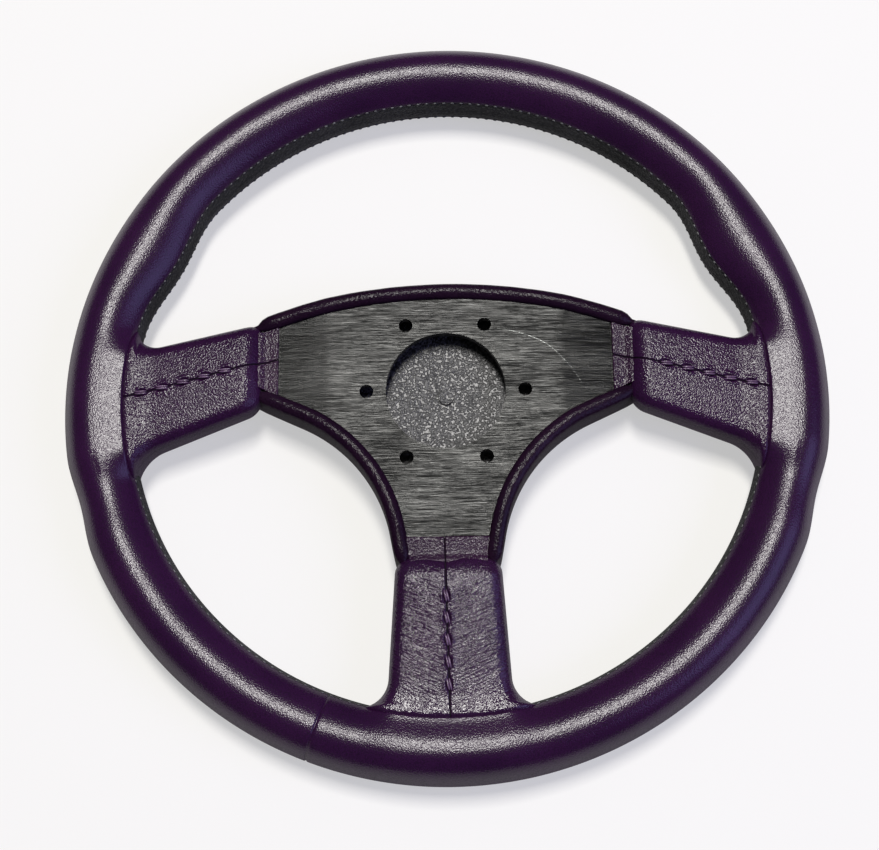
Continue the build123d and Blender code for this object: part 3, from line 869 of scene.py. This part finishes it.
def stitch_opening(outline, distance):
    """How far the seam is open at a distance: 1 at a stitch, 0 between stitches and beyond the last."""
    steps = (distance - outline["first_stitch"]) / stitch_gap
    if steps < -0.5 or steps > stitch_count - 0.5:
        return 0.0
    return (1 + cos(2 * pi * (steps - round(steps)))) / 2


def press_seam(bm, outline):
    """Cut rows along the seam line of a sleeve's or tongue's rear face and press the slit."""
    # This attribute also paints the slit nearly black in the finish: painted shade.
    slit = bm.verts.layers.float.new("slit")
    (first, start), (last, stop) = outline["seam"]
    along = Vector((last - first, stop - start, 0)).normalized()
    across = Vector((-along.y, along.x, 0))
    origin = Vector((first, start, 0))
    for offset in seam_rows:
        near = [f for f in bm.faces if abs((f.calc_center_median() - origin).dot(across)) < seam_zone]
        rear = [f for f in near if f.normal.z > rear_facing]
        spot = origin + across * (offset * mm)
        bmesh.ops.bisect_plane(bm, geom=with_edges(rear), dist=0.01 * mm, plane_co=spot, plane_no=across)
    bm.normal_update()
    moves = []
    for v in bm.verts:
        offset = (v.co - origin).dot(across)
        if abs(offset) < press_zone and v.normal.z > rear_facing:
            open_share = stitch_opening(outline, v.co.x)
            width = slit_width + slit_opening * open_share**2
            depth = slit_depth + slit_deepening * open_share
            v[slit] = exp(-((offset / width) ** 4))
            lip = lip_height * open_share * exp(-(((abs(offset) - lip_place) / lip_width) ** 2))
            moves.append((v, v.normal * (lip - depth * v[slit])))
    for v, move in moves:
        v.co += move


# %% Three sleeves
turned_left = Matrix.Scale(-1, 3, (1, 0, 0))
turned_down = Matrix.Rotation(-pi / 2, 3, "Z")
settings = {
    "right": (outlines["side"], Matrix.Identity(3), spoke_hide),
    "left": (outlines["side"], turned_left, spoke_hide),
    "bottom": (outlines["bottom"], turned_down, creased_hide),
}
for name, (outline, turn, hide) in settings.items():
    bm = sleeve_mesh(outline)
    bm.normal_update()
    press_seam(bm, outline)
    bmesh.ops.transform(bm, matrix=turn.to_4x4(), verts=bm.verts)
    covered = [f"spoke_leather_{name}", f"spoke_pad_{name}"]
    sleeve = leather_piece(bm, f"spoke_sleeve_{name}", hide, covered)

# %% [markdown]
# Beside the plate each sleeve ends in a thin tongue of leather, glued flat on the metal between the rolled
# edges. It could be drawn out of the sleeve's end, but a sheet of its own is easier to fit: a grid that is
# moved into place, level on the plate and curving up where it runs into the padded end of the sleeve. Its
# free edge is turned down by the thickness of the hide.

# %% Tongues
tongue_rise = 1.6 * mm
tongue_turn = 3.2 * mm
tongue_run = 4.5 * mm


def tongue_mesh(outline):
    """Bmesh of the tongue beside a sleeve that runs along +X."""
    bm = bmesh.new()
    bmesh.ops.create_grid(bm, x_segments=14, y_segments=40, size=0.5)
    (free, low_free, high_free), (root, low_root, high_root) = outline["tongue"]
    for v in bm.verts:
        share = v.co.x + 0.5
        low = low_free + (low_root - low_free) * share
        high = high_free + (high_root - high_free) * share
        distance = free + (root - free) * share
        lift = tongue_rise * ease((distance - outline["root"] + tongue_turn) / tongue_run)
        v.co = (distance, low + (high - low) * (v.co.y + 0.5), arm_height(distance) + leather + lift)
    edge = [e for e in bm.edges if e.is_boundary and all(v.co.x < free + 0.01 * mm for v in e.verts)]
    made = bmesh.ops.extrude_edge_only(bm, edges=edge)["geom"]
    bmesh.ops.translate(bm, verts=only(BMVert, made), vec=(0, 0, -leather))
    bmesh.ops.recalc_face_normals(bm, faces=bm.faces)
    return bm


for name, (outline, turn, _) in settings.items():
    bm = tongue_mesh(outline)
    press_seam(bm, outline)
    bmesh.ops.transform(bm, matrix=turn.to_4x4(), verts=bm.verts)
    leather_piece(bm, f"spoke_tongue_{name}", tongue_hide)

# %% [markdown]
# A heavy stitch is two short strands of waxed thread that lie side by side in the open part of the seam. A
# curve with a round section could be one, but a stretched sphere also has the pointed ends that show where a
# strand dives into the leather. Each pair leans a little across the seam.

# %% Heavy stitches
strand = Vector((2.9 * mm, 0.5 * mm, 0.5 * mm))
strand_offset = 0.5 * mm
strand_lean = radians(11)
strand_lift = 0.25 * crown + 0.05 * mm
for name, (outline, turn, _) in settings.items():
    bm = bmesh.new()
    (first, start), (last, stop) = outline["seam"]
    lean = atan2(stop - start, last - first) + strand_lean
    for i in range(stitch_count):
        distance = outline["first_stitch"] + i * stitch_gap
        height = sleeve_bounds(outline, distance)[3] + strand_lift
        for offset in (-strand_offset, strand_offset):
            threads = bmesh.ops.create_uvsphere(bm, u_segments=10, v_segments=8, radius=1)["verts"]
            bmesh.ops.scale(bm, verts=threads, vec=strand)
            bmesh.ops.rotate(bm, verts=threads, cent=(0, 0, 0), matrix=Matrix.Rotation(lean, 3, "Z"))
            spot = (distance, seam_line(outline, distance) + offset, height)
            bmesh.ops.translate(bm, verts=threads, vec=spot)
    bmesh.ops.transform(bm, matrix=turn.to_4x4(), verts=bm.verts)
    leather_piece(bm, f"seam_stitches_{name}", thread)

# %% [markdown]
# ## Hub cover
# The hub's leather covers the front pad and is rolled over the plate's edge. The first step is its outline. A
# curve could be drawn by hand, but arcs that meet smoothly are surer: an arch by spinning a vertex, then the
# waisted side and the foot, and the other half by mirror. The ends run on a little, hidden in the sleeves.

# %% Hub outline
hub_top_radius = 262 * mm
waist = Vector((33.7 * mm, -29.5 * mm, 0))
waist_radius = 73 * mm
side_root_low = -4.6 * mm
foot_half = 24.4 * mm
hidden = 8 * mm
roll_width = 7.5 * mm


def straight_to(bm, last, stop, steps):
    """Chain of points from a vertex straight to a place; gives the chain's last vertex."""
    first = last.co.copy()
    for i in range(steps):
        last = bmesh.ops.extrude_vert_indiv(bm, verts=[last])["verts"][0]
        last.co = first.lerp(stop, (i + 1) / steps)
    return last


def hub_loop():
    """Bmesh of the hub's closed outline, level with the plate's rear face."""
    bm = bmesh.new()
    end_x = hub_half_width + hidden
    centre = Vector((0, hub_top - hub_top_radius, 0))
    top = bm.verts.new((0, hub_top, 0))
    turn = asin(end_x / hub_top_radius)
    bmesh.ops.spin(bm, geom=[top], cent=centre, axis=(0, 0, -1), angle=turn, steps=34)
    side_run = (side_root_low - waist.y) / (hub_half_width - waist.x)
    foot_run = (foot_half - waist.x) / (hub_foot + waist.y)
    side_end = Vector((end_x, side_root_low + side_run * hidden, 0))
    foot_end = Vector((foot_half + foot_run * hidden, -hub_foot - hidden, 0))
    inward = (waist - side_end).normalized()
    outward = (foot_end - waist).normalized()
    bend = inward.angle(outward)
    arc_start = waist - inward * waist_radius * tan(bend / 2)
    pivot = arc_start + Vector((-inward.y, inward.x, 0)) * waist_radius
    last = max(bm.verts, key=lambda v: v.co.x)
    last = straight_to(bm, last, side_end, 8)
    last = straight_to(bm, last, arc_start, 6)
    made = bmesh.ops.spin(bm, geom=[last], cent=pivot, axis=(0, 0, 1), angle=bend, steps=26)
    last = only(BMVert, made["geom_last"])[0]
    last = straight_to(bm, last, foot_end, 8)
    straight_to(bm, last, Vector((0, foot_end.y, 0)), 6)
    half = bm.verts[:] + bm.edges[:]
    bmesh.ops.mirror(bm, geom=half, axis="X", merge_dist=0.01 * mm)
    bmesh.ops.remove_doubles(bm, verts=bm.verts, dist=0.01 * mm)
    return bm


bm = hub_loop()
print("outline:", len(bm.verts), "points,", sum(len(v.link_edges) == 2 for v in bm.verts), "joined")

# %% [markdown]
# Filling the outline and insetting the face could make the rolled edge, but an inset folds over at sharp
# corners. Here each point keeps its place and its inward direction in two layers, and the loop is extruded
# in small steps along a profile: up and over for the roll on the plate, then down the wall and round the
# front edge of the pad. Points near a corner all run to the place where the corner itself goes.

# %% Hub cover
front_round = 6 * mm
front_ledge = 0.8 * mm
corner_stretch = 1.1


def closed_walk(bm):
    """Points of a closed loop in order, anticlockwise seen from behind the wheel."""
    bm.verts.ensure_lookup_table()
    walk = [bm.verts[0]]
    edge = walk[0].link_edges[0]
    while edge.other_vert(walk[-1]) is not walk[0]:
        walk.append(edge.other_vert(walk[-1]))
        edge = next(e for e in walk[-1].link_edges if e is not edge)
    pairs = zip(walk, walk[1:] + walk[:1])
    area = sum(a.co.x * b.co.y - b.co.x * a.co.y for a, b in pairs)
    return walk if area > 0 else walk[::-1]


def swept(bm, edges, profile):
    """Extrude a loop of edges along a profile of (inset, height) pairs; gives the last loop."""
    for inset, height in profile:
        made = bmesh.ops.extrude_edge_only(bm, edges=edges)["geom"]
        edges = only(BMEdge, made)
        for v in only(BMVert, made):
            v.co = v[base] + v[inward] * inset + Vector((0, 0, height))
    return edges


def quarter_turns(first, last, steps):
    """Angles from first to last quarter turn, without the first."""
    return [pi / 2 * (first + (last - first) * (i + 1) / steps) for i in range(steps)]


base = bm.verts.layers.float_vector.new("base")
inward = bm.verts.layers.float_vector.new("inward")
walk = closed_walk(bm)
for before, v, after in zip(walk[-1:] + walk[:-1], walk, walk[1:] + walk[:1]):
    first = (v.co - before.co).normalized()
    second = (after.co - v.co).normalized()
    normal = Vector((-first.y - second.y, first.x + second.x, 0))
    v[base] = v.co
    v[inward] = normal / (1 + first.dot(second))
corners = [(v[base].copy(), v[inward].copy()) for v in walk if v[inward].length > corner_stretch]
for v in walk:
    for spot, slant in corners:
        if 0 < (v[base] - spot).length < roll_width * sqrt(slant.length_squared - 1):
            v[inward] = (spot - v[base]) / roll_width + slant
rim_loop = bm.edges[:]
roll = [(roll_width / 2 * (1 - cos(a)), roll_height * sin(a)) for a in quarter_turns(0, 2, 14)]
swept(bm, rim_loop, roll)
wall = [(0, (hub_front + front_round) * share) for share in (0.34, 0.67, 1.0)]
turns = quarter_turns(0, 1, 6)
edge = [(front_round * (1 - cos(a)), hub_front + front_round * (1 - sin(a))) for a in turns]
front_loop = swept(bm, rim_loop, wall + edge + [(front_round + front_ledge, hub_front)])
print("cover front at", min(v.co.z for v in bm.verts), "of", hub_front)

# %% [markdown]
# The cover is open in front for the horn push. A hole could be cut with a boolean, but bridging keeps the
# faces clean: a circle with as many points as the front loop is joined to it. Then the rear follows the
# bend of the plate's arms, the roll's ends are drawn in like a sausage's where they meet the sleeves, and a
# little noise makes the roll as uneven as work by hand.

# %% Horn opening
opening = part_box("horn_disc")[1].x + 2.8 * mm
end_start = 3.5 * mm
end_run = 5.0 * mm
end_keep = 0.4
unevenness = 0.25 * mm
unevenness_scale = 140
ring = bmesh.ops.create_circle(bm, cap_ends=False, segments=len(front_loop), radius=opening)["verts"]
bmesh.ops.translate(bm, verts=ring, vec=(0, 0, hub_front))
ring_edges = each_once(e for v in ring for e in v.link_edges)
bmesh.ops.bridge_loops(bm, edges=front_loop + ring_edges)
made = bmesh.ops.extrude_edge_only(bm, edges=ring_edges)["geom"]
bmesh.ops.translate(bm, verts=only(BMVert, made), vec=(0, 0, leather))
for v in bm.verts:
    share = ease((v.co.z - hub_front) / -hub_front)
    reach = max(abs(v.co.x), -v.co.y)
    v.co.z += arm_height(reach) * share
    near_end = max(abs(v[base].x) - hub_half_width, -v[base].y - hub_foot) + end_start
    past_end = min(max(near_end / end_run, 0.0), 1.0)
    slim = (1 - end_keep) * (1 - sqrt(1 - past_end * past_end)) * share
    core = v[base] + v[inward] * roll_width / 2 + Vector((0, 0, arm_height(reach)))
    v.co += (core - v.co) * slim
for v in bm.verts:
    rear_share = ease((v.co.z - hub_front) / -hub_front)
    v.co.z += unevenness * noise.noise(v.co * unevenness_scale) * rear_share
hub_cover = leather_piece(bm, "hub_cover", roll_hide, ["hub_pad_leather"])

# %% [markdown]
# ## Horn springs
# Three small coil springs hold the horn disc away from the plate. A curve with a round section could be a
# coil too, but a mesh is made here: a ring of wire is carried round an axis while it climbs, which one spin
# with a step along the axis does. The coil takes the height of the CAD springs, which it replaces.

# %% Coil springs
coil_low, coil_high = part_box("horn_springs")
coil_wire = 0.9 * mm
coil_radius = 3.55 * mm
coil_turns = 3
coil_steps = 24 * coil_turns
coil_circle = 37 * mm
climb = (coil_high.z - coil_low.z - coil_wire) / coil_steps
bm = bmesh.new()
for heading in (radians(30), radians(150), radians(270)):
    foot = Vector((coil_circle * cos(heading), coil_circle * sin(heading), coil_low.z + coil_wire / 2))
    section = bmesh.ops.create_circle(bm, cap_ends=False, segments=8, radius=coil_wire / 2)["verts"]
    bmesh.ops.rotate(bm, verts=section, cent=(0, 0, 0), matrix=Matrix.Rotation(pi / 2, 3, "X"))
    bmesh.ops.translate(bm, verts=section, vec=foot + Vector((coil_radius, 0, 0)))
    ends = each_once(e for v in section for e in v.link_edges)
    bmesh.ops.spin(
        bm, geom=section + ends, cent=foot, axis=(0, 0, 1), dvec=(0, 0, climb),
        angle=2 * pi * coil_turns, steps=coil_steps,
    )
bmesh.ops.holes_fill(bm, edges=[e for e in bm.edges if e.is_boundary])
horn_coils = new_piece(bm, "horn_coils", zinc_steel)
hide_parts("horn_springs")
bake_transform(horn_coils)

# %% [markdown]
# ## Camera
# The camera was fitted to the six hub holes and to the rim's two edges. It looks down at the wheel, which
# lies on its face, from a little below its lower edge.

# %% Camera
camera_place = Vector((4.661, -219.45, 717.455)) * mm
camera_target = Vector((-3.158, -16.874, 0)) * mm
camera_roll = -0.0139229
back = (camera_place - camera_target).normalized()
right = Vector((0, 1, 0)).cross(back).normalized()
up = back.cross(right)
turned_right = right * cos(camera_roll) + up * sin(camera_roll)
turned_up = up * cos(camera_roll) - right * sin(camera_roll)
camera = bpy.data.objects.new("camera", bpy.data.cameras.new("camera"))
camera.data.lens = 65.99
camera.data.sensor_width = 36
camera.matrix_world = Matrix((turned_right, turned_up, back)).transposed().to_4x4()
camera.location = camera_place
scene.collection.objects.link(camera)
scene.camera = camera
print("camera at", camera_place, "lens", camera.data.lens)

# %% [markdown]
# ## Floor and light
# The wheel lies on a white floor under a soft overhead lamp, with a cool window light from the lower right.
# The camera sees the floor as nearly white, and a weak shadow stays on it.

# %% Floor
floor_half = 3.0
floor_glow = 0.5
floor_material = bpy.data.materials.new("white_floor")
floor_material.use_nodes = True
tree = floor_material.node_tree
tree.nodes.clear()
output = tree.nodes.new("ShaderNodeOutputMaterial")
matt = tree.nodes.new("ShaderNodeBsdfDiffuse")
matt.inputs["Color"].default_value = (0.86, 0.85, 0.80, 1)
glow = tree.nodes.new("ShaderNodeEmission")
glow.inputs["Strength"].default_value = 1.0
blend = tree.nodes.new("ShaderNodeMixShader")
paths = tree.nodes.new("ShaderNodeLightPath")
seen = add_math(tree, "MAXIMUM", paths.outputs["Is Camera Ray"], paths.outputs["Is Glossy Ray"])
seen = add_math(tree, "MAXIMUM", seen, paths.outputs["Is Transmission Ray"])
tree.links.new(add_math(tree, "MULTIPLY", seen, floor_glow), blend.inputs["Fac"])
tree.links.new(matt.outputs[0], blend.inputs[1])
tree.links.new(glow.outputs[0], blend.inputs[2])
tree.links.new(blend.outputs[0], output.inputs["Surface"])
bm = bmesh.new()
bmesh.ops.create_grid(bm, x_segments=1, y_segments=1, size=floor_half)
bmesh.ops.translate(bm, verts=bm.verts, vec=(0, 0, cad_low.z))
floor_mesh = bpy.data.meshes.new("floor")
bm.to_mesh(floor_mesh)
bm.free()
floor_mesh.materials.append(floor_material)
floor = bpy.data.objects.new("floor", floor_mesh)
scene.collection.objects.link(floor)
print("floor at", cad_low.z)


# %% Lamps
def area_lamp(name, place, target, size, power, colour):
    """Rectangular area lamp that looks at a target."""
    lamp = bpy.data.lights.new(name, "AREA")
    lamp.shape = "RECTANGLE"
    lamp.size, lamp.size_y = size
    lamp.energy = power
    lamp.color = colour
    thing = bpy.data.objects.new(name, lamp)
    thing.location = place
    thing.rotation_euler = (Vector(target) - Vector(place)).to_track_quat("-Z", "Y").to_euler()
    scene.collection.objects.link(thing)


area_lamp("overhead", (0.0, 1.0, 3.9), (0, 0, 0), (0.6, 1.3), 150, (1.0, 0.975, 0.95))
area_lamp("window", (2.3, -0.67, 1.85), (0, 0, 0), (2.0, 2.0), 32, (0.45, 0.45, 1.0))
world = bpy.data.worlds.new("studio")
scene.world = world
world.use_nodes = True
world.node_tree.nodes["Background"].inputs["Color"].default_value = (0.9, 0.92, 1.0, 1)
world.node_tree.nodes["Background"].inputs["Strength"].default_value = 0.10
scene.view_settings.view_transform = "Standard"
